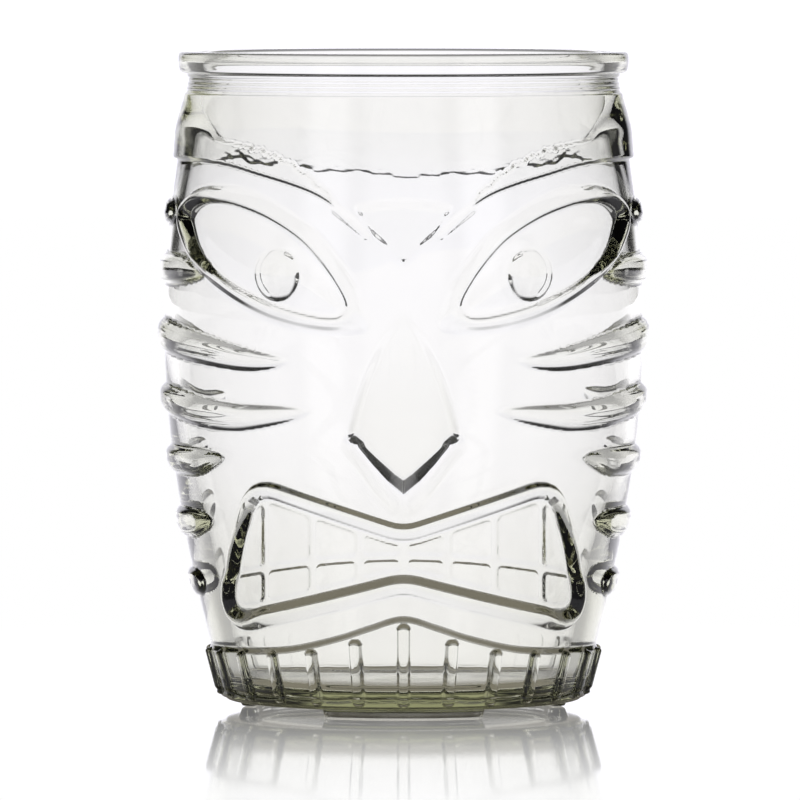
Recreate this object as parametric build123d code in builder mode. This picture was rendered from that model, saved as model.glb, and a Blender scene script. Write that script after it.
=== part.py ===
"""Glass tumbler with a tiki face moulded into the wall. Millimetres.

+Z is up, the face looks along -Y, and the origin is the middle of the foot,
on the surface that the glass stands on. Heights in this file are above the heel,
the lowest edge of the wall, and the pads of the foot reach FOOT_STEP below it.
"""

import os

from build123d import *

os.makedirs("parts", exist_ok=True)

# Driving dimensions
HEIGHT = 118.0
FOOT_STEP = 1.5
RIM_RADIUS = 41.0
BELLY_RADIUS = 43.6
HEEL_RADIUS = 32.6

# Rim bead and neck
BEAD_HEIGHT = 3.4
BEAD_ROUND = 1.2
NECK_RADIUS = RIM_RADIUS - 1.65
NECK_HEIGHT = HEIGHT - 4.8

# Foot: pads along a circle, set in from the heel, around a slight hollow
HEEL_HEIGHT = 0.6
PAD_COUNT = 3
PAD_WIDTH = 3.6
PAD_ARC = 54  # degrees, to which the round ends add
PAD_CIRCLE = HEEL_RADIUS - 4.4
PAD_EDGE = 0.3
HOLLOW_DEPTH = 0.5
HOLLOW_RADIUS = PAD_CIRCLE - PAD_WIDTH / 2 - 1
HOLLOW_CURVE = (HOLLOW_RADIUS**2 + HOLLOW_DEPTH**2) / (2 * HOLLOW_DEPTH)

# Wall: radius and height of the plain outer surface, heel to forehead step
FOREHEAD_STEP = 98.0
STEP_RADIUS = BELLY_RADIUS - 2.25
WALL = [
    (HEEL_RADIUS, HEEL_HEIGHT),
    (BELLY_RADIUS - 8.2, 11.2),
    (BELLY_RADIUS - 4.2, 28.5),
    (BELLY_RADIUS - 1.0, 49.0),
    (BELLY_RADIUS, 68.0),
    (BELLY_RADIUS - 0.7, 84.5),
    (STEP_RADIUS, FOREHEAD_STEP),
]
FOREHEAD = [
    (BELLY_RADIUS - 1.5, FOREHEAD_STEP + 1.2),
    (BELLY_RADIUS - 1.9, FOREHEAD_STEP + 6.3),
    (BELLY_RADIUS - 3.2, FOREHEAD_STEP + 10.9),
    (NECK_RADIUS, NECK_HEIGHT),
]

# Cavity: radius and height, floor corner to mouth
FLOOR_HEIGHT = 3.6
FLOOR_RADIUS = 27.0
FLOOR_FLAT = 24.0
MOUTH_RADIUS = RIM_RADIUS - 4.4
CAVITY = [
    (FLOOR_RADIUS + 2.6, 7.5),
    (FLOOR_RADIUS + 4.7, 15.5),
    (FLOOR_RADIUS + 7.6, 24.5),
    (FLOOR_RADIUS + 11.3, 39.0),
    (FLOOR_RADIUS + 13.3, 52.0),
    (FLOOR_RADIUS + 14.3, 72.0),
    (FLOOR_RADIUS + 13.2, 88.0),
    (FLOOR_RADIUS + 11.0, 102.0),
    (MOUTH_RADIUS, 111.0),
]

# How far each kind of relief stands out of the wall
LIP_RELIEF = 1.4
STRIPE_RELIEF = 1.25
BROW_RELIEF = 0.7
TOOTH_RELIEF = 0.6
BAND_RELIEF = 0.6
RIB_RELIEF = 1.05
NOSE_RELIEF = 2.8

# Face outlines, as distance from the middle plane and height
EYE_INNER_CORNER = (6.3, 68.8)
EYE_OUTER_CORNER = (40.0, 88.5)
EYE_UPPER = [(9.4, 78.6), (18.5, 88.5), (32.1, 94.3), (38.6, 92.6)]
EYE_LOWER = [(37.6, 80.6), (30.3, 73.6), (16.7, 68.4)]
BALL_INNER_CORNER = (10.6, 72.2)
BALL_OUTER_CORNER = (36.8, 86.6)
BALL_UPPER = [(14.0, 79.5), (23.9, 88.1), (32.1, 90.7)]
BALL_LOWER = [(34.6, 80.6), (27.0, 75.3), (16.6, 71.6)]
PUPIL = (22.3, 78.6)
PUPIL_RADIUS = 4.7
BROW_TIP = (11.9, 90.7)
BROW_UPPER = [(17.3, 96.2), (24.5, 99.6)]
BROW_LOWER = [(20.3, 94.5), (31.2, 97.7)]
BROW_END = 41.0
BROW_REACH = 4  # how far the skin of the brows goes on above the forehead step
DIAMOND = [(0, 92.4), (8.5, 91.4), (8.1, 89.0), (3.5, 83.9), (0, 80.4)]
NOSE_TOP = 73.0
NOSE_SIDE = [(5.1, 67.0), (9.2, 56.5), (10.5, 48.2)]
NOSE_TIP_HEIGHT = 44.5
NOSE_BASE = 39.2
LIP_OUTER = [(0, 34.0), (27.6, 42.3), (33.0, 14.4), (0, 22.3)]
LIP_INNER = [(0, 30.5), (26.0, 38.6), (30.4, 18.0), (0, 25.7)]
LIP_CORNER = 3.2
MOUTH_CORNER = 1.8
TOOTH_PITCH = 8.2
TOOTH_GAP = 1.0
TOOTH_COLUMNS = 4
TOOTH_MIDDLE = 28.2
TOOTH_ROW = [(0, TOOTH_MIDDLE), (16.4, 27.0), (33, 23.6)]

# Stripes on each side: middle height, half height, front reach, back reach and
# how far the ends lie below the middle
STRIPES = [
    (89.2, 2.2, 15.0, 13.0, 0.4),
    (78.8, 2.7, 24.5, 22.0, 0.8),
    (66.6, 2.9, 38.6, 32.0, 3.3),
    (55.2, 2.5, 39.6, 32.0, 2.6),
    (44.1, 2.3, 27.5, 27.0, 0.3),
    (32.8, 2.6, 23.0, 22.0, 0.6),
    (21.7, 2.6, 16.0, 15.0, 0.6),
]

# Foot band and its ribs
BAND_TOP = 10.6
BAND_ARCH = [(0, 18.0), (11.3, 13.8), (20.5, 11.4), (33.0, BAND_TOP)]
RIB_COUNT = 26
RIB_WIDTH = 2.3
RIB_BOTTOM = 1.0
RIB_TOPS = [16.6, 13.8, 11.6, 10.8]
RIB_TOP = 10.2

REACH = BELLY_RADIUS + 10  # further out than any part of the glass


def barrel(grow, points=WALL, outline=Spline):
    """Solid of revolution of the wall, pushed out by grow."""
    with BuildPart() as solid:
        with BuildSketch(Plane.XZ):
            with BuildLine():
                side = outline([(radius + grow, height) for radius, height in points])
                Polyline(side @ 1, (0, points[-1][1]), (0, points[0][1]), side @ 0)
            make_face()
        revolve(axis=Axis.Z)
    return solid.part


def both_sides(points):
    """Closed outline of a half, listed top to bottom, and its mirror image."""
    return points + [(-across, height) for across, height in reversed(points) if across]


brow_skin = barrel(BROW_RELIEF, WALL + [(STEP_RADIUS, FOREHEAD_STEP + BROW_REACH)])
lip_skin = barrel(LIP_RELIEF)
tooth_skin = barrel(TOOTH_RELIEF)
stripe_skin = barrel(STRIPE_RELIEF)
band_skin = barrel(BAND_RELIEF)
rib_skin = barrel(RIB_RELIEF)

# Nose: grows out of the wall from its top down to the tip, then turns under
nose_skin = barrel(
    0,
    [
        (BELLY_RADIUS - 2.2, NOSE_BASE),
        (BELLY_RADIUS - 1.4 + NOSE_RELIEF, NOSE_TIP_HEIGHT),
        (BELLY_RADIUS, NOSE_TOP),
    ],
    outline=Polyline,
)

with BuildPart() as nose:
    with BuildSketch(Plane.XZ):
        with BuildLine():
            left = Spline([(0, NOSE_TOP), *NOSE_SIDE])
            Line(left @ 1, (0, NOSE_BASE))
            mirror(about=Plane.YZ)
        make_face()
    extrude(amount=REACH)
    add(nose_skin, mode=Mode.INTERSECT)

with BuildPart() as eyes:
    with BuildSketch(Plane.XZ):
        with BuildLine():
            Spline([EYE_INNER_CORNER, *EYE_UPPER, EYE_OUTER_CORNER])
            Spline([EYE_OUTER_CORNER, *EYE_LOWER, EYE_INNER_CORNER])
        make_face()
        with BuildLine():
            Spline([BALL_INNER_CORNER, *BALL_UPPER, BALL_OUTER_CORNER])
            Spline([BALL_OUTER_CORNER, *BALL_LOWER, BALL_INNER_CORNER])
        make_face(mode=Mode.SUBTRACT)
        with Locations(PUPIL):
            Circle(PUPIL_RADIUS)
        mirror(about=Plane.YZ)
    extrude(amount=REACH)
    add(lip_skin, mode=Mode.INTERSECT)

with BuildPart() as brows:
    with BuildSketch(Plane.XZ):
        with BuildLine():
            upper = Spline([BROW_TIP, *BROW_UPPER, (BROW_END, FOREHEAD_STEP + 3)])
            lower = Spline([BROW_TIP, *BROW_LOWER, (BROW_END, FOREHEAD_STEP)])
            Line(upper @ 1, lower @ 1)
        make_face()
        with BuildLine():
            Polyline(DIAMOND, close=True)
        make_face()
        mirror(about=Plane.YZ)
    extrude(amount=REACH)
    add(brow_skin, mode=Mode.INTERSECT)

with BuildPart() as lips:
    with BuildSketch(Plane.XZ):
        with BuildLine():
            FilletPolyline(both_sides(LIP_OUTER), radius=LIP_CORNER, close=True)
        make_face()
        with BuildLine():
            FilletPolyline(both_sides(LIP_INNER), radius=MOUTH_CORNER, close=True)
        make_face(mode=Mode.SUBTRACT)
    extrude(amount=REACH)
    add(lip_skin, mode=Mode.INTERSECT)

with BuildPart() as teeth:
    with BuildSketch(Plane.XZ):
        with BuildLine():
            Polyline(LIP_INNER, close=True)
        make_face()
        offset(amount=-TOOTH_GAP / 2, kind=Kind.INTERSECTION, mode=Mode.REPLACE)
        columns = [(TOOTH_PITCH * column, TOOTH_MIDDLE) for column in range(1, TOOTH_COLUMNS)]
        with Locations(*columns):
            Rectangle(TOOTH_GAP, REACH, mode=Mode.SUBTRACT)
        with BuildLine():
            above = [(across, height + TOOTH_GAP / 2) for across, height in TOOTH_ROW]
            below = [(across, height - TOOTH_GAP / 2) for across, height in TOOTH_ROW]
            Polyline(above + below[::-1], close=True)
        make_face(mode=Mode.SUBTRACT)
        mirror(about=Plane.YZ)
    extrude(amount=REACH)
    add(tooth_skin, mode=Mode.INTERSECT)

with BuildPart() as stripes:
    with BuildSketch(Plane.YZ):
        for middle, half, front, back, drop in STRIPES:
            front_tip = (-front, middle - drop)
            back_tip = (back, middle - drop)
            with BuildLine():
                ThreePointArc(front_tip, (0, middle + half), back_tip)
                ThreePointArc(front_tip, (0, middle - half), back_tip)
            make_face()
    extrude(amount=REACH, both=True)
    add(stripe_skin, mode=Mode.INTERSECT)

with BuildPart() as band:
    with BuildSketch(Plane.XY.offset(HEEL_HEIGHT)):
        Circle(REACH)
    extrude(amount=BAND_TOP - HEEL_HEIGHT)
    with BuildSketch(Plane.XZ):
        with BuildLine():
            arch = Spline(BAND_ARCH)
            Polyline(arch @ 1, (BAND_ARCH[-1][0], HEEL_HEIGHT), (0, HEEL_HEIGHT), arch @ 0)
        make_face()
        mirror(about=Plane.YZ)
    extrude(amount=REACH)
    add(band_skin, mode=Mode.INTERSECT)

with BuildPart() as ribs:
    for number in range(RIB_COUNT):
        step = min(number, RIB_COUNT - number)
        top = RIB_TOPS[step] if step < len(RIB_TOPS) else RIB_TOP
        outward = Plane.XZ.rotated((0, 0, 360 / RIB_COUNT * number))
        with BuildSketch(outward):
            with Locations((0, (top + RIB_BOTTOM) / 2)):
                SlotOverall(top - RIB_BOTTOM, RIB_WIDTH, rotation=90)
        extrude(amount=REACH)
    add(rib_skin, mode=Mode.INTERSECT)

# Foot pads: one under the middle of the face, the others evenly round from it
with BuildPart() as pads:
    with BuildSketch(Plane.XY.offset(-FOOT_STEP)):
        for number in range(PAD_COUNT):
            start = -90 - PAD_ARC / 2 + 360 / PAD_COUNT * number
            SlotArc(CenterArc((0, 0), PAD_CIRCLE, start, PAD_ARC), PAD_WIDTH)
    extrude(amount=FOOT_STEP)
    chamfer(pads.edges().group_by(Axis.Z)[0], length=PAD_EDGE)

with BuildPart() as glass_tumbler:
    # Outside of the plain glass, from the middle of the foot up to the rim
    with BuildSketch(Plane.XZ):
        with BuildLine():
            RadiusArc((0, HOLLOW_DEPTH), (HOLLOW_RADIUS, 0), HOLLOW_CURVE)
            Polyline((HOLLOW_RADIUS, 0), (HEEL_RADIUS - HEEL_HEIGHT, 0), WALL[0])
            Spline(WALL)
            Line(WALL[-1], FOREHEAD[0])
            Spline(FOREHEAD)
            Polyline(
                FOREHEAD[-1],
                (RIM_RADIUS, HEIGHT - BEAD_HEIGHT),
                (RIM_RADIUS, HEIGHT),
                (0, HEIGHT),
                (0, HOLLOW_DEPTH),
            )
        make_face()
    revolve(axis=Axis.Z)

    for relief in (pads, nose, eyes, brows, lips, teeth, stripes, band, ribs):
        add(relief.part)

    # Inside
    with BuildSketch(Plane.XZ):
        with BuildLine():
            Line((0, FLOOR_HEIGHT), (FLOOR_FLAT, FLOOR_HEIGHT))
            floor_corner = Spline(
                [(FLOOR_FLAT, FLOOR_HEIGHT), *CAVITY], tangents=[(1, 0), (0, 1)]
            )
            Polyline(floor_corner @ 1, (MOUTH_RADIUS, HEIGHT), (0, HEIGHT), (0, FLOOR_HEIGHT))
        make_face()
    revolve(axis=Axis.Z, mode=Mode.SUBTRACT)

    rim = edges().filter_by(GeomType.CIRCLE).group_by(Axis.Z)[-1]
    fillet(rim, radius=BEAD_ROUND)

tumbler = glass_tumbler.part.moved(Location((0, 0, FOOT_STEP)))
tumbler.label = "glass_tumbler"
export_step(tumbler, "parts/glass_tumbler.step")
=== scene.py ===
"""Clear glass tiki tumbler: one piece of moulded glass on a pale studio floor.

The glass is built as one closed mesh, a grid of rows up the outside, over the rim
and down the inside, and columns around the axis. Lengths below are in millimetres
of the real glass, turned into metres with MM, and heights are above the heel, the
lowest edge of the wall; the pads of the foot reach FOOT_STEP below it. Angles are from
the middle of the face, which looks along -Y, and the relief is the same on both sides.
"""

import math

import bpy
import numpy as np
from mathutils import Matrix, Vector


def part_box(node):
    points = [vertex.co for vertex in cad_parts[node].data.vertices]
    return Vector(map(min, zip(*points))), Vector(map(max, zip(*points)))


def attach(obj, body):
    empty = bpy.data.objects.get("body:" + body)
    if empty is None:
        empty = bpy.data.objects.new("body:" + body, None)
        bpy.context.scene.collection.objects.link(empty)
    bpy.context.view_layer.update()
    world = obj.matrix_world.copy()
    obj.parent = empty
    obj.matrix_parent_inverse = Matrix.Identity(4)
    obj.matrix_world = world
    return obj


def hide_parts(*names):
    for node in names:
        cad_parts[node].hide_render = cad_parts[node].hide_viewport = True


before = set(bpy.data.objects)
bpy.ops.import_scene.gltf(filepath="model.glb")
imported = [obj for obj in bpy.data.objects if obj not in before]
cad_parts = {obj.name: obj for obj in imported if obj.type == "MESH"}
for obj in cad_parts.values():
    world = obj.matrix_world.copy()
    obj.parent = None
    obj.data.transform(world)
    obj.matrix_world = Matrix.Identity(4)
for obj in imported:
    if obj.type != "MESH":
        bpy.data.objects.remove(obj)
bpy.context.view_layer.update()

NODE = "glass_tumbler"
HEIGHT = 118.0
FOOT_STEP = 1.5
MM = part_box(NODE)[1].z / (HEIGHT + FOOT_STEP)

# ---------------------------------------------------------------- outlines

FADE = 5.0  # how far outside an outline its distance is still worked out


def smooth(t):
    """0 below 0, 1 above 1, and an even S between."""
    t = np.clip(t, 0.0, 1.0)
    return t * t * (3.0 - 2.0 * t)


def curve(points, steps=8, closed=False):
    """Points along a Catmull-Rom curve through the given ones."""
    p = np.array(points, float)
    if closed:
        p = np.vstack([p[-1], p, p[:2]])
    else:
        p = np.vstack([2 * p[0] - p[1], p, 2 * p[-1] - p[-2]])
    t = np.linspace(0, 1, steps, endpoint=False)[:, None]
    parts = []
    for a, b, c, d in zip(p[:-3], p[1:-2], p[2:-1], p[3:]):
        parts.append(
            0.5 * (2 * b + (c - a) * t + (2 * a - 5 * b + 4 * c - d) * t**2
                   + (3 * b - a - 3 * c + d) * t**3)
        )
    line = np.vstack(parts)
    return line if closed else np.vstack([line, p[-2]])


def rounded(corners, radius, steps=6):
    """A closed outline of straight runs with a small curve at each corner."""
    p = np.array(corners, float)
    line = []
    for before, here, after in zip(np.roll(p, 1, 0), p, np.roll(p, -1, 0)):
        to_before, to_after = before - here, after - here
        room_before, room_after = np.linalg.norm(to_before), np.linalg.norm(to_after)
        start = here + to_before / room_before * min(radius, room_before / 2)
        end = here + to_after / room_after * min(radius, room_after / 2)
        for t in np.linspace(0, 1, steps):
            line.append((1 - t) ** 2 * start + 2 * t * (1 - t) * here + t**2 * end)
    return np.array(line)


def refined(outline, step=1.0):
    """The same closed outline with points no further apart than step."""
    line = []
    for here, after in zip(outline, np.roll(outline, -1, 0)):
        count = max(1, math.ceil(np.linalg.norm(after - here) / step))
        for t in np.linspace(0, 1, count, endpoint=False):
            line.append(here + (after - here) * t)
    return np.array(line)


def along(s, z, line, closed=False):
    """Distance from each point to a line, FADE or more where it is far off."""
    line = np.asarray(line, float)
    ends = np.roll(line, -1, 0) if closed else line[1:]
    near = (
        (s > line[:, 0].min() - FADE) & (s < line[:, 0].max() + FADE)
        & (z > line[:, 1].min() - FADE) & (z < line[:, 1].max() + FADE)
    )
    ps, pz = s[near], z[near]
    best = np.full(ps.shape, FADE**2)
    for (s0, z0), (s1, z1) in zip(line, ends):
        ds, dz = s1 - s0, z1 - z0
        t = np.clip(((ps - s0) * ds + (pz - z0) * dz) / (ds * ds + dz * dz + 1e-12), 0, 1)
        best = np.minimum(best, (ps - s0 - t * ds) ** 2 + (pz - z0 - t * dz) ** 2)
    out = np.full(s.shape, FADE)
    out[near] = np.sqrt(best)
    return out


def inside(s, z, outline):
    """Distance in from a closed outline, negative outside it."""
    outline = np.asarray(outline, float)
    within = np.zeros(s.shape, bool)
    near = (s < outline[:, 0].max()) & (z > outline[:, 1].min()) & (z < outline[:, 1].max())
    ps, pz = s[near], z[near]
    odd = np.zeros(ps.shape, bool)
    for (s0, z0), (s1, z1) in zip(outline, np.roll(outline, -1, 0)):
        if z0 != z1:
            crossed = (pz > min(z0, z1)) & (pz <= max(z0, z1))
            odd ^= crossed & (ps < s0 + (pz - z0) * (s1 - s0) / (z1 - z0))
    within[near] = odd
    far = along(s, z, outline, closed=True)
    return np.where(within, far, -far)


# ---------------------------------------------------------------- plain shape

BELLY = 43.57
HEEL = 32.6
NECK = 39.35
RIM = 41.0
MOUTH = 36.6
HEEL_TOP = 0.7
NECK_TOP = 113.3

WALL = curve(
    [
        (HEEL, HEEL_TOP),
        (BELLY - 8.2, 11.2),
        (BELLY - 4.2, 28.5),
        (BELLY - 1.0, 49.0),
        (BELLY, 68.0),
        (BELLY - 0.7, 84.5),
        (BELLY - 2.35, 98.0),
        (BELLY - 3.1, 106.5),
        (NECK, NECK_TOP),
    ],
    steps=16,
)
PAD_ROW_STEP = 0.15  # the rows under the pads lie close together
BASE = np.vstack([
    curve([(0, 0.5), (12, 0.42), (21, 0.15), (25.4, 0)], steps=6),
    [(radius, 0) for radius in np.arange(25.7, 31.0, PAD_ROW_STEP)],
    curve([(31.3, 0.0), (32.2, 0.12), (HEEL, HEEL_TOP)], steps=4),
])
PAD_COUNT = 3
PAD_CIRCLE = 28.2
PAD_WIDTH = 3.6
PAD_HALF_ARC = math.radians(27)
PAD_EDGE = 0.8
BEAD = curve(
    [(NECK, NECK_TOP), (39.5, 114.0), (40.3, 114.15), (40.7, 114.5), (40.85, 115.1), (RIM, 116.3),
     (40.95, 117.2), (40.75, 117.7), (40.3, 117.93), (39.6, HEIGHT), (38.6, HEIGHT),
     (37.6, 117.85), (36.95, 117.4), (36.65, 116.6), (MOUTH, 115.6)],
    steps=4,
)
CAVITY = curve(
    [(MOUTH, 115.6), (MOUTH + 0.05, 111.0), (37.9, 102.0), (40.2, 88.0), (41.3, 72.0),
     (40.3, 52.0), (38.3, 39.0), (34.6, 24.5), (32.0, 15.5), (30.5, 9.4), (29.75, 6.6),
     (29.0, 5.0), (27.4, 4.0), (25.2, 3.65), (18.0, 3.6), (8.0, 3.7), (0, 3.8)],
    steps=6,
)


def wall_radius(z):
    """Radius of the plain outer wall, before any relief."""
    return np.interp(z, WALL[:, 1], WALL[:, 0])


def on_wall(outline):
    """An outline seen from the front, as distance around the wall and height."""
    across, z = np.asarray(outline, float).T
    radius = wall_radius(z)
    return np.column_stack([radius * np.arcsin(np.clip(across / radius, 0, 0.999)), z])


# ---------------------------------------------------------------- relief

BROW_RELIEF = 0.85
BROW_FADE = (103.0, 110.5)  # between these heights the forehead band runs out
BROW_LOWER = curve([(11.9, 90.7), (15.8, 93.0), (20.3, 94.7), (25.8, 96.3), (31.2, 97.8),
                    (36.8, 98.5), (41.0, 98.4)])
BROW_UPPER = curve([(11.9, 90.7), (14.2, 93.6), (17.3, 96.2), (20.6, 98.4), (24.5, 100.2),
                    (29.9, 101.6), (34.5, 102.2)])
BACK_START = 112  # degrees round, where the forehead step turns rough
BACK_STEP_LINE = np.array([(60, 98.4), (95, 98.5), (112, 99.9), (126, 100.6), (142, 99.1),
                           (155, 97.6), (168, 96.5), (180, 96.2)])
DIAMOND = [(-8.4, 91.2), (0, 92.4), (8.4, 91.2), (8.1, 89.0), (6.3, 86.1), (3.5, 83.6),
           (0, 80.4), (-3.5, 83.6), (-6.3, 86.1), (-8.1, 89.0)]
DIAMOND_RELIEF = 0.55
CREASE = [(6.6, 85.6), (9.0, 87.6), (12.2, 90.3)]
CREASE_RELIEF = 0.3
EYE_OUTER = [(6.3, 68.8), (7.4, 75.1), (9.6, 79.0), (14.9, 85.7), (18.5, 88.5), (23.9, 92.0),
             (28.5, 93.9), (32.1, 94.4), (34.9, 94.2), (37.7, 93.0), (39.6, 90.6), (40.1, 87.5),
             (39.6, 84.4), (38.0, 81.0), (35.8, 77.8), (33.0, 75.2), (30.3, 73.3), (26.6, 71.1),
             (22.1, 69.4), (16.7, 68.3), (11.3, 68.0)]
EYE_INNER = [(10.9, 72.4), (11.0, 74.4), (14.0, 79.5), (18.5, 84.6), (23.9, 88.1), (29.4, 90.2),
             (32.1, 90.7), (34.5, 90.3), (36.2, 88.8), (36.8, 86.6), (36.1, 83.4), (34.0, 80.0),
             (30.3, 76.9), (25.7, 74.7), (21.2, 73.0), (15.5, 71.6), (12.2, 71.4)]
EYE_RELIEF = 1.25
BALL_EDGE = 0.35  # how far the eyeball stands out along its edge
BALL_SWELL = 0.4  # how much further at its middle
PUPIL = (22.3, 78.6)
PUPIL_RADIUS = 4.8
PUPIL_RELIEF = 1.8
GLINT_DEPTH = 0.3
NOSE_SIDE = [(0, 73.6), (2.4, 70.6), (5.1, 66.4), (7.8, 60.2), (9.6, 54.4), (10.4, 50.0),
             (8.6, 48.2)]
NOSE_UNDER = np.array([(8.6, 48.2), (5.6, 44.6), (3.0, 41.7), (0, 39.2)])
NOSE_TOP = 73.0
NOSE_RISE = 26.0  # the nose reaches its full relief this far below its top
NOSE_TOP_RELIEF = 0.35
NOSE_RELIEF = 2.2
NOSE_UNDERCUT = 2.5
NOSE_DENT = 1.2
NOSE_DENT_REACH = 4.9
MOUTH_MIDDLE = 28.2
MOUTH_CORNER = 3.4
MOUTH_INNER = [(-26.0, 38.9), (0, 30.4), (26.0, 38.9), (29.0, 28.6), (30.5, 17.5), (0, 25.8),
               (-30.5, 17.5), (-29.0, 28.6)]
LIP_WIDTH = 3.5
LIP_RELIEF = 1.25
TOOTH_EDGES = [0.0, 7.8, 16.2, 24.6]
TOOTH_RELIEF = 0.36
TOOTH_CORNER = 1.6

# Side stripes: the angle of each point along the middle line, its height there, and
# the half width. The first point is the front tip.
STRIPES = [
    [(77, 88.9, 0.1), (80, 89.1, 1.6), (85, 89.2, 2.3), (90, 89.2, 2.4)],
    [(54, 78.3, 0.1), (60, 78.5, 1.6), (70, 78.7, 2.6), (90, 78.8, 2.8)],
    [(27.5, 63.3, 0.1), (33, 63.0, 1.3), (42, 63.4, 2.15), (57, 64.8, 2.7), (77, 66.3, 2.95),
     (90, 66.7, 2.95)],
    [(22.5, 54.4, 0.1), (29, 53.6, 1.4), (43, 52.8, 2.45), (56, 53.2, 2.7), (70, 54.3, 2.7),
     (90, 55.2, 2.55)],
    [(49, 45.5, 0.1), (54, 45.0, 1.3), (62, 44.2, 2.3), (75, 44.0, 2.5), (90, 44.1, 2.4)],
    [(58, 33.6, 0.1), (63, 33.4, 1.6), (72, 32.9, 2.6), (90, 32.6, 2.8)],
    [(70, 22.2, 0.1), (74, 22.0, 1.8), (81, 21.7, 2.6), (90, 21.6, 2.7)],
]
STRIPE_RELIEF = 1.24
STRIPE_CREASE = 0.036
BACK_REACH = 0.56  # how far the back half of a stripe reaches, as a share of the front

BAND_TOP = curve([(-9.5, 15.8), (0, 17.5), (9.5, 15.8), (18.5, 13.9), (31.7, 11.9), (42.7, 11.1),
                  (56, 10.7), (84.5, 10.2), (120, 10.1), (180, 10.1), (240, 10.1)])
BAND_RELIEF = 0.6
BAND_EDGE = 1.15
RIB_COUNT = 26
RIB_HALF = 1.15
RIB_TOPS = [16.0, 13.1, 11.1, 10.4, 10.0]  # from the middle of the face outwards
RIB_TOP = 9.7  # all the others
RIB_BOTTOM = 0.9
RIB_RELIEF = 0.95
SEAM_HEIGHT = 2.0
SEAM_DEPTH = 0.26

RING_DEPTH = 0.10
RING_PITCH = 0.8
LEDGE_HEIGHT = 110.3
LEDGE_DEPTH = 0.3


def ridge(t, crest, gentle):
    """A ridge across t from 0 to 1, highest at crest.

    gentle is 1 where the side beyond the crest is the easy slope, and 0 where the
    side before it is.
    """
    before = np.clip(t / crest, 0, 1)
    after = np.clip((1 - t) / (1 - crest), 0, 1)
    steep_before, easy_before = smooth(before), 1 - (1 - before) ** 2
    steep_after, easy_after = smooth(after), 1 - (1 - after) ** 2
    rising = steep_before + (easy_before - steep_before) * (1 - gentle)
    falling = steep_after + (easy_after - steep_after) * gentle
    return np.where(t < crest, rising, falling)


def mouth_and_teeth(angle, s, z):
    """Raised lip around a field of pillow teeth, in two rows."""
    outline = refined(rounded(MOUTH_INNER, MOUTH_CORNER))
    half = np.array([p for p in outline if p[0] > -1e-6])
    depth = inside(s, z, on_both_sides(half))
    across = wall_radius(z) * np.sin(angle)
    row = MOUTH_MIDDLE - 0.0044 * across**2
    beside = smooth((across - 24.5) / 4.0)
    lower = smooth((row - z) / 3.0 + 0.5)
    crest = 0.62 - 0.12 * lower
    width = LIP_WIDTH + 0.8 * lower
    lip = LIP_RELIEF * ridge(-depth / width, crest + (0.72 - crest) * beside, lower)
    beside_gap = np.min([np.abs(across - edge) for edge in TOOTH_EDGES], axis=0)
    beside_gap = beside_gap / np.maximum(np.cos(angle), 0.5)
    above_gap = np.minimum(np.abs(z - row), depth)
    corner = np.hypot(np.clip(TOOTH_CORNER - beside_gap, 0, None),
                      np.clip(TOOTH_CORNER - above_gap, 0, None))
    teeth = TOOTH_RELIEF * smooth((TOOTH_CORNER - corner - 0.35) / 0.5)
    teeth = teeth + 0.25 * smooth(np.minimum(beside_gap, above_gap) / 4.2)
    return np.where(depth > 0, teeth, lip)


def on_both_sides(half):
    """The whole mouth outline around the wall, from its right half seen from the front."""
    order = np.argsort(np.arctan2(half[:, 1] - MOUTH_MIDDLE, half[:, 0] - 12.0))
    wrapped = on_wall(half[order])
    left = wrapped[::-1] * (-1, 1)
    return np.vstack([wrapped, left])


def eye(s, z):
    """Raised border round a shallow eyeball, with a domed pupil and a crescent in it."""
    outer = on_wall(curve(EYE_OUTER, 5, closed=True))
    inner = on_wall(curve(EYE_INNER, 5, closed=True))
    from_outer = inside(s, z, outer)
    from_inner = -inside(s, z, inner)
    t = from_outer / np.maximum(from_outer + from_inner, 1e-6)
    corner = smooth((s - 35.0) / 12.0)
    below = smooth((PUPIL[1] - 1.0 + 0.42 * (s - 24.0) - z) / 3.0 + 0.5)
    crest = 0.70 - 0.48 * corner
    ring = EYE_RELIEF * (0.88 + 0.32 * corner) * ridge(t, crest, below)
    ring = np.where(t > crest, np.maximum(ring, BALL_EDGE), ring)
    ball = BALL_EDGE + BALL_SWELL * smooth(-from_inner / 5.0)
    height = np.where(from_inner < 0, ball, np.where(from_outer > 0, ring, 0.0))
    centre = on_wall([PUPIL])[0]
    reach = np.hypot(s - centre[0], z - centre[1]) / PUPIL_RADIUS
    glint = np.hypot(s - centre[0] + 1.5, z - centre[1] - 0.4) / PUPIL_RADIUS
    groove = smooth(1 - np.abs(glint - 0.98) / 0.14) * smooth((s - centre[0] - 0.6) / 1.5)
    pupil = PUPIL_RELIEF * np.sqrt(np.clip(1 - reach**2, 0, 1)) - GLINT_DEPTH * groove
    return np.maximum(height, np.where(reach < 1, height * 0.4 + pupil, 0.0))


def nose(s, z):
    """Nose growing out of the wall towards its tip, cut off by a steep V underneath."""
    right = curve(NOSE_SIDE, 6)
    outline = np.vstack([right, NOSE_UNDER[1:], (NOSE_UNDER[1:-1] * (-1, 1))[::-1],
                         right[:0:-1] * (-1, 1)])
    grown = smooth((NOSE_TOP - z) / NOSE_RISE)
    rise = NOSE_TOP_RELIEF + (NOSE_RELIEF - NOSE_TOP_RELIEF) * grown
    lift = rise * smooth(along(s, z, right) / 2.4)
    under = along(s, z, NOSE_UNDER) / (1 - 0.4 * smooth(s / NOSE_UNDER[0, 0]))
    cut = rise * np.clip(under / NOSE_UNDERCUT, 0, 1)
    within = inside(s, z, outline)
    return np.where(within > 0, np.minimum(lift, cut), 0.0), within, under


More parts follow.
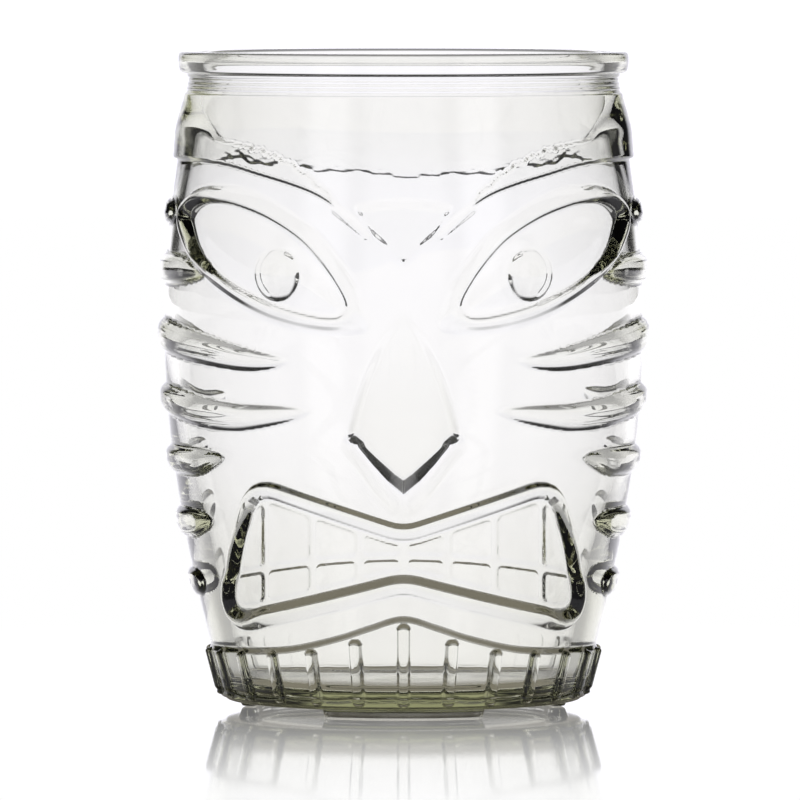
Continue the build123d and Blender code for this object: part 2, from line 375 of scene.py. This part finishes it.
def nose_dent(within, under):
    """The wall dips under the nose, so that its underside is deeper."""
    above = 1 - np.clip(under / NOSE_UNDERCUT, 0, 1)
    below = smooth(1 - under / NOSE_DENT_REACH)
    return -NOSE_DENT * np.where(within > 0, above, below)


def brow(angle, s, z):
    """Forehead band round the sides and back, and a leaf over each eye in front."""
    lower, upper = on_wall(BROW_LOWER), on_wall(BROW_UPPER)
    end, tip = lower[-1], lower[0]
    degrees = np.degrees(angle)
    torn = (0.45 * np.sin(0.31 * degrees) + 0.30 * np.sin(0.83 * degrees + 1.0)
            + 0.14 * np.sin(2.3 * degrees) + 0.10 * np.sin(4.9 * degrees + 2.0))
    edge = np.interp(degrees, BACK_STEP_LINE[:, 0], BACK_STEP_LINE[:, 1])
    behind = smooth((degrees - BACK_START) / 15)
    edge = edge + torn * behind
    front_edge = np.interp(s, lower[:, 0], lower[:, 1])
    slope = np.diff(lower[:, 1]) / np.diff(lower[:, 0])
    slant = np.interp(s, lower[1:, 0], np.cos(np.arctan(slope)))
    from_step = np.where(s > end[0], z - edge, (z - front_edge) * slant)
    from_step = np.where(s < tip[0], -1.0, from_step)
    second = 0.9 + 0.4 * np.sin(1.1 * degrees) + 0.2 * np.sin(3.7 * degrees)
    step = smooth(from_step / (0.4 + 0.25 * behind))
    step = step + (smooth((from_step - second) / 0.8) - step) * 0.4 * behind
    top = np.interp(s, upper[:, 0], upper[:, 1])
    beside = smooth((degrees - 50) / 38)
    soft = 0.5 + 7.0 * smooth((s - 36.0) / 12.0)
    top = top + (0.25 * np.sin(1.9 * s) + 0.15 * np.sin(4.7 * s)) * smooth((34.0 - s) / 6.0)
    share = 1 - (1 - beside) * smooth((z - top) / soft)
    fade = 1 - smooth((z - BROW_FADE[0]) / (BROW_FADE[1] - BROW_FADE[0]))
    return BROW_RELIEF * step * share * fade


def diamond(s, z):
    """Low diamond between the brows, and a short crease from it up to each brow."""
    depth = inside(s, z, curve(DIAMOND, 3, closed=True))
    crease = along(s, z, on_wall(curve(CREASE, 6)))
    return np.maximum(DIAMOND_RELIEF * smooth(depth / 1.6),
                      CREASE_RELIEF * smooth(1 - crease / 1.1))


def stripe(angle, z, points):
    """A leaf along the wall, from its front tip round the side to its back tip."""
    degrees, heights, halves = np.array(points).T
    back = 180 - degrees[::-1][1:]
    back = 90 + (back - 90) * BACK_REACH
    degrees = np.concatenate([degrees, back])
    heights = np.concatenate([heights, heights[::-1][1:]])
    halves = np.concatenate([halves, halves[::-1][1:]])
    line = curve(np.column_stack([degrees, heights]), 8)
    wide = curve(np.column_stack([degrees, halves]), 8)
    here = np.degrees(angle)
    middle = np.interp(here, line[:, 0], line[:, 1])
    half = np.interp(here, wide[:, 0], wide[:, 1], left=0.0, right=0.0)
    t = np.abs(z - middle) / np.maximum(half, 1e-3)
    tall = STRIPE_RELIEF * smooth(half / 2.2)
    creases = STRIPE_CREASE * np.sin(3.6 * (z - middle) + 0.11 * here) * smooth((1 - t) / 0.3)
    return np.where(t < 1, tall * np.clip(1 - t**3, 0, 1) ** 0.8 + creases, 0.0)


def foot_band(angle, z):
    """Raised band round the foot, with its upright ribs."""
    degrees = np.degrees(angle)
    top = np.interp(degrees, BAND_TOP[:, 0], BAND_TOP[:, 1])
    behind = smooth((degrees - 100) / 25)
    slant = (top - z) / (BAND_EDGE + 5 * behind)
    band = BAND_RELIEF * (0.3 * smooth(slant) + 0.7 * np.clip(slant, 0, 1))
    pitch = 360 / RIB_COUNT
    number = np.clip(np.round(degrees / pitch), 0, RIB_COUNT // 2).astype(int)
    tops = np.array(RIB_TOPS + [RIB_TOP] * RIB_COUNT)[number]
    aside = wall_radius(z) * np.radians(degrees - number * pitch)
    up = z - np.clip(z, RIB_BOTTOM + RIB_HALF, tops - RIB_HALF)
    reach = np.hypot(aside, up)
    rib = RIB_RELIEF * np.clip(1 - (reach / RIB_HALF) ** 3, 0, 1) ** 0.6
    seam = SEAM_HEIGHT + 0.12 * np.sin(11 * angle) + 0.08 * np.sin(29 * angle)
    groove = SEAM_DEPTH * smooth(1 - np.abs(z - seam) / 0.55)
    return band + rib * (1 - 0.75 * behind) - groove


def neck_rings(z):
    """Fine rings round the neck, and the little ledge that they end on."""
    rings = RING_DEPTH * np.sin(2 * np.pi * z / RING_PITCH) * smooth((z - 110.6) / 0.3)
    return rings - LEDGE_DEPTH * smooth((z - LEDGE_HEIGHT) / 0.35)


def relief(angle, z):
    """How far the wall stands out at each angle and height."""
    s = wall_radius(z) * angle
    height = np.maximum(brow(angle, s, z), diamond(s, z))
    height = np.maximum(height, eye(s, z))
    nose_height, within, under = nose(s, z)
    height = np.maximum(height, nose_height)
    for points in STRIPES:
        height = np.maximum(height, stripe(angle, z, points))
    height = np.maximum(height, mouth_and_teeth(angle, s, z))
    height = np.maximum(height, foot_band(angle, z))
    return height + nose_dent(within, under) + neck_rings(z)


# ---------------------------------------------------------------- mesh

FRONT_STEP = math.radians(0.33)
BACK_STEP = math.radians(0.9)
FRONT_REACH = math.radians(100)
ROW_STEP = 0.32
BAND_END = 18.2
BAND_STEP = 0.2
NECK_START = 110.0
NECK_STEP = 0.12


def tumbler_mesh():
    """The whole glass as one closed grid with a point at each end of the axis."""
    front = np.linspace(0, FRONT_REACH, round(FRONT_REACH / FRONT_STEP) + 1)
    back = np.linspace(FRONT_REACH, math.pi, round((math.pi - FRONT_REACH) / BACK_STEP) + 1)
    half = np.concatenate([front, back[1:]])
    wall_z = np.concatenate([np.arange(HEEL_TOP, BAND_END, BAND_STEP),
                             np.arange(BAND_END, NECK_START, ROW_STEP),
                             np.arange(NECK_START, NECK_TOP, NECK_STEP), [NECK_TOP]])
    angle, z = np.meshgrid(half, wall_z)
    wall_r = wall_radius(z) + relief(angle, z)

    def plain(profile):
        radii = np.repeat(profile[:, :1], len(half), 1)
        heights = np.repeat(profile[:, 1:], len(half), 1)
        return radii, heights

    base_r, base_z = plain(BASE[1:-1])
    bead_r, bead_z = plain(BEAD[1:])
    cavity_r, cavity_z = plain(CAVITY[1:-1])
    r = np.vstack([base_r, wall_r, bead_r, cavity_r])
    heights = np.vstack([base_z, z, bead_z, cavity_z])
    # the left half mirrors the right one, and the two share the middle and back lines
    angles = np.concatenate([half, -half[-2:0:-1]])
    r = np.hstack([r, r[:, -2:0:-1]])
    heights = np.hstack([heights, heights[:, -2:0:-1]])
    inner = slice(len(base_r) + len(wall_r) + len(bead_r), None)
    r[inner] += inner_ripple(angles[None, :], heights[inner])
    x, y = r * np.sin(angles), -r * np.cos(angles)
    rows_below = len(base_r)
    heights[:rows_below] -= foot_pads(angles[None, :], r[:rows_below])
    heights = np.clip(heights, -FOOT_STEP, HEIGHT) + FOOT_STEP
    points = np.stack([x, y, heights], -1).reshape(-1, 3)
    rows, columns = r.shape
    ends = [(0, 0, height + FOOT_STEP) for height in (BASE[0, 1], CAVITY[-1, 1])]
    points = np.vstack([points, ends]) * MM
    index = np.arange(rows * columns).reshape(rows, columns)
    right = np.roll(index, -1, 1)
    quads = np.stack([index[:-1], right[:-1], right[1:], index[1:]], -1).reshape(-1, 4)
    foot_point, floor_point = rows * columns, rows * columns + 1
    faces = quads.tolist()
    faces += [[foot_point, b, a] for a, b in zip(index[0], right[0])]
    faces += [[floor_point, a, b] for a, b in zip(index[-1], right[-1])]
    mesh = bpy.data.meshes.new("tumbler")
    mesh.from_pydata(points.tolist(), [], faces)
    mesh.update()
    mesh.shade_smooth()
    return mesh


def foot_pads(angle, radius):
    """How far the underside reaches down: flat pads with round ends, evenly round."""
    pitch = 2 * math.pi / PAD_COUNT
    aside = np.abs(angle - np.round(angle / pitch) * pitch)
    beyond = PAD_CIRCLE * np.clip(aside - PAD_HALF_ARC, 0, None)
    off = np.hypot(radius - PAD_CIRCLE, beyond)
    return FOOT_STEP * smooth((PAD_WIDTH / 2 - off) / PAD_EDGE + 0.25)


def inner_ripple(angle, z):
    """The slow unevenness of a blown inside, none at the rim or on the floor."""
    wave = (
        0.10 * np.sin(2 * angle + z / 17.0 + 0.6)
        + 0.07 * np.sin(3 * angle - z / 11.0 + 2.0)
        + 0.05 * np.sin(5 * angle + z / 7.0)
    )
    return wave * smooth((z - 12.0) / 14.0) * smooth((113.0 - z) / 8.0)


# ---------------------------------------------------------------- material


def glass_material():
    """Clear glass, faintly olive where it is thick, and very slightly uneven."""
    material = bpy.data.materials.new("clear_glass")
    material.use_nodes = True
    nodes, links = material.node_tree.nodes, material.node_tree.links
    shader = nodes["Principled BSDF"]
    shader.inputs["Base Color"].default_value = (1, 1, 1, 1)
    shader.inputs["Roughness"].default_value = 0.0
    shader.inputs["IOR"].default_value = 1.51
    shader.inputs["Transmission Weight"].default_value = 1.0
    place = nodes.new("ShaderNodeTexCoord")
    noise = nodes.new("ShaderNodeTexNoise")
    noise.inputs["Scale"].default_value = 55.0
    noise.inputs["Detail"].default_value = 1.0
    links.new(place.outputs["Object"], noise.inputs["Vector"])
    bump = nodes.new("ShaderNodeBump")
    bump.inputs["Strength"].default_value = 0.035
    bump.inputs["Distance"].default_value = 0.0012
    links.new(noise.outputs["Fac"], bump.inputs["Height"])
    links.new(bump.outputs["Normal"], shader.inputs["Normal"])
    absorb = nodes.new("ShaderNodeVolumeAbsorption")
    absorb.inputs["Color"].default_value = (0.60, 0.61, 0.40, 1)
    absorb.inputs["Density"].default_value = 52.0
    links.new(absorb.outputs["Volume"], nodes["Material Output"].inputs["Volume"])
    return material


# ---------------------------------------------------------------- stage


def join(tree, value, socket):
    """Put a number on a socket, or link another node's output to it."""
    if isinstance(value, (int, float)):
        socket.default_value = value
    else:
        tree.links.new(value, socket)


def math_node(tree, kind, *values):
    """Output of a Math node, with a number or another node's output for each value."""
    node = tree.nodes.new("ShaderNodeMath")
    node.operation = kind
    for socket, value in zip(node.inputs, values):
        join(tree, value, socket)
    return node.outputs[0]


def ramp(tree, value, start, end, first=0.0, last=1.0, kind="SMOOTHSTEP"):
    """Goes from first to last while value goes from start to end."""
    node = tree.nodes.new("ShaderNodeMapRange")
    node.interpolation_type = kind
    for name, number in zip(("Value", "From Min", "From Max", "To Min", "To Max"),
                            (value, start, end, first, last)):
        join(tree, number, node.inputs[name])
    return node.outputs["Result"]


def around_axis(tree, split):
    """Degrees round the axis from straight behind, the same to the left and right."""
    x, y, _ = split.outputs
    return math_node(tree, "DEGREES", math_node(tree, "ARCTAN2", math_node(tree, "ABSOLUTE", x), y))


TABLE_SIDE = 0.5  # light of the table beside and in front of the glass


def floor_material():
    """White table with a mirror image that fades away from the glass.

    Seen directly it is white. Through the glass it glows with painted light: white behind,
    dimmer at the sides and in front, and a painted shadow of the glass in grey close by.
    """
    material = bpy.data.materials.new("studio_floor")
    material.use_nodes = True
    tree = material.node_tree
    nodes, links = tree.nodes, tree.links
    nodes.remove(nodes["Principled BSDF"])
    place = nodes.new("ShaderNodeTexCoord")
    split = nodes.new("ShaderNodeSeparateXYZ")
    links.new(place.outputs["Object"], split.inputs[0])
    away = nodes.new("ShaderNodeVectorMath")
    away.operation = "LENGTH"
    links.new(place.outputs["Object"], away.inputs[0])
    away = away.outputs["Value"]

    def mixed(factor, first, second):
        node = nodes.new("ShaderNodeMixShader")
        for socket, value in zip(node.inputs, (factor, first, second)):
            links.new(value, socket)
        return node.outputs["Shader"]

    def glow(colour, strength=1.0):
        node = nodes.new("ShaderNodeEmission")
        node.inputs["Color"].default_value = colour
        join(tree, strength, node.inputs["Strength"])
        return node.outputs[0]

    mirror = nodes.new("ShaderNodeBsdfGlossy")
    mirror.inputs["Color"].default_value = (1, 1, 1, 1)
    mirror.inputs["Roughness"].default_value = 0.05
    clear = ramp(tree, away, 32 * MM, 225 * MM, 0.85, 0.0, "LINEAR")
    direct = mixed(clear, glow((1, 1, 1, 1)), mirror.outputs[0])
    # painted shadow of the glass: the table glows grey close to its foot, where the glass would
    # shade it
    near = glow((0.27, 0.25, 0.205, 1))
    # painted light: the table glows full white behind the glass and TABLE_SIDE as bright beside and
    # in front
    behind = ramp(tree, around_axis(tree, split), 36, 60, 1.0, TABLE_SIDE)
    # painted reflection: the table's glow is brighter where it is seen at a slant and dimmer face
    # on
    slant = nodes.new("ShaderNodeLayerWeight")
    painted_reflection_level = ramp(tree, slant.outputs["Facing"], 0.44, 0.64, 0.3, 1.0)
    # painted light of the table, glowing a little brighter than white
    far = glow((1.17, 1.155, 1.23, 1), math_node(tree, "MULTIPLY", behind, painted_reflection_level))
    # seen through the glass, the painted shadow close by gives way to the painted light further off
    painted_light_and_shadow = mixed(ramp(tree, away, 33 * MM, 47 * MM), near, far)
    path = nodes.new("ShaderNodeLightPath")
    shown = mixed(path.outputs["Is Camera Ray"], painted_light_and_shadow, direct)
    links.new(shown, nodes["Material Output"].inputs["Surface"])
    return material


AMBIENT = 0.03
COOL_WHITE = (0.975, 0.965, 1.04, 1)
LIGHTS = [  # light; from and to degrees around, softness; top in degrees up, softness
    (1.13, (0, 22), 4, 18, 5),
    (0.15, (100, 118), 5, 30, 8),
    (0.90, (128, 150), 5, 30, 8),
    (0.45, (160, 180), 5, 60, 8),
]


def studio_world():
    """A white wall behind, dark gaps beside it, softboxes further round, dark overhead.

    Directions are in degrees: around is measured from straight behind the glass,
    the same to the left and the right, and up from the horizon. Seen directly, or in
    the table, it is white all over.
    """
    world = bpy.data.worlds.new("studio")
    bpy.context.scene.world = world
    world.use_nodes = True
    tree = world.node_tree
    nodes, links = tree.nodes, tree.links
    where = nodes.new("ShaderNodeTexCoord")
    split = nodes.new("ShaderNodeSeparateXYZ")
    links.new(where.outputs["Generated"], split.inputs[0])
    around = around_axis(tree, split)
    up = math_node(tree, "DEGREES", math_node(tree, "ARCSINE", split.outputs["Z"]))
    total = AMBIENT
    for light, sides, side_soft, top, top_soft in LIGHTS:
        patch = ramp(tree, up, top + top_soft, top - top_soft, 0.0, light)
        if sides[0] > 0:
            edge = ramp(tree, around, sides[0] - side_soft, sides[0] + side_soft)
            patch = math_node(tree, "MULTIPLY", edge, patch)
        if sides[1] < 180:
            edge = ramp(tree, around, sides[1] + side_soft, sides[1] - side_soft)
            patch = math_node(tree, "MULTIPLY", edge, patch)
        total = math_node(tree, "ADD", patch, total)
    background = nodes["Background"]
    path = nodes.new("ShaderNodeLightPath")
    glossy, sharp = path.outputs["Is Glossy Ray"], path.outputs["Is Singular Ray"]
    in_table = math_node(tree, "SUBTRACT", glossy, sharp)
    direct = math_node(tree, "MAXIMUM", path.outputs["Is Camera Ray"], in_table)
    links.new(math_node(tree, "MAXIMUM", total, direct), background.inputs["Strength"])
    background.inputs["Color"].default_value = COOL_WHITE


FLOOR_RADIUS = 3.0  # in metres, as is the drop
FLOOR_SIDES = 96
FLOOR_DROP = 0.0002


def stage():
    """A round table top, a hair below the pads so that the two surfaces never meet."""
    mesh = bpy.data.meshes.new("studio_floor")
    turns = np.linspace(0, 2 * math.pi, FLOOR_SIDES, endpoint=False)
    ring = [(FLOOR_RADIUS * math.cos(turn), FLOOR_RADIUS * math.sin(turn), 0) for turn in turns]
    mesh.from_pydata(ring, [], [list(range(FLOOR_SIDES))])
    floor = bpy.data.objects.new("studio_floor", mesh)
    floor.data.materials.append(floor_material())
    bpy.context.scene.collection.objects.link(floor)
    floor.location.z = -FLOOR_DROP


def camera():
    """A long lens a little above the rim, looking slightly down at the face."""
    data = bpy.data.cameras.new("camera")
    data.sensor_width = 36.0
    data.lens = 462.1
    data.clip_end = 20.0
    viewer = bpy.data.objects.new("camera", data)
    bpy.context.scene.collection.objects.link(viewer)
    viewer.location = (-0.64 * MM, -1870 * MM, 145.5 * MM)
    viewer.rotation_euler = (math.radians(90 - 2.742), 0, 0)
    bpy.context.scene.camera = viewer


# ---------------------------------------------------------------- build

camera()
studio_world()
stage()

glass = bpy.data.objects.new("tumbler_glass", tumbler_mesh())
bpy.context.scene.collection.objects.link(glass)
glass.data.materials.append(glass_material())
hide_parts(NODE)
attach(glass, "root")

scene = bpy.context.scene
scene.view_settings.view_transform = "Standard"
scene.cycles.max_bounces = 32
scene.cycles.transmission_bounces = 28
scene.cycles.glossy_bounces = 12
